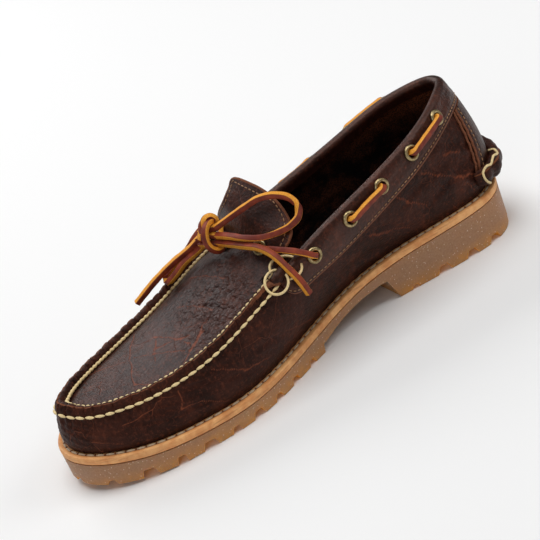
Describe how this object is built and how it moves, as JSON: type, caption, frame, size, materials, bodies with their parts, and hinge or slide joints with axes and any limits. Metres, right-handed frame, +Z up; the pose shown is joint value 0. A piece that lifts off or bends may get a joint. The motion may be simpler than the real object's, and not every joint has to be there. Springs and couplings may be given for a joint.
{
  "type": "lace-up hand-sewn moccasin shoe",
  "caption": "Low lace-up moccasin: raised hand-sewn seam round the vamp plug, laced collar, stacked midsole and a thick lugged rubber sole with heel.",
  "frame": {"origin": "on the floor under the middle of the shoe's bounding box", "axes": "+Z up, the toe points to -Y and the inner (medial) side of this right shoe to +X"},
  "size_m": [0.1098, 0.309, 0.0995],
  "materials": {
    "leather": "oiled pull-up leather, dark brown",
    "veg_leather": "natural vegetable-tanned leather, raw edge",
    "lining": "dark rough leather lining",
    "rubber": "smoky translucent gum rubber",
    "brass": "antique brass",
    "lace": "square-cut rawhide lace, red-brown faces and ochre edges"
  },
  "bodies": {
    "root": {"outsole": "rubber", "midsole": "veg_leather", "insole": "lining", "upper": "leather", "tongue": "leather", "collar": "leather", "heel_strap": "leather", "heel_roll": "leather", "eyelet_inner_1": "brass", "eyelet_inner_2": "brass", "eyelet_inner_3": "brass", "eyelet_inner_4": "brass", "eyelet_inner_5": "brass", "eyelet_outer_1": "brass", "eyelet_outer_2": "brass", "eyelet_outer_3": "brass", "eyelet_outer_4": "brass", "eyelet_outer_5": "brass", "eyelet_throat_inner": "brass", "eyelet_throat_outer": "brass", "lace_inner_2_3": "lace", "lace_inner_4_5": "lace", "lace_inner_front": "lace", "lace_outer_2_3": "lace", "lace_outer_4_5": "lace", "lace_outer_front": "lace", "lace_knot": "lace", "lace_loop_inner": "lace", "lace_loop_outer": "lace", "lace_end_inner": "lace", "lace_end_outer": "lace"}
  },
  "joints": []
}
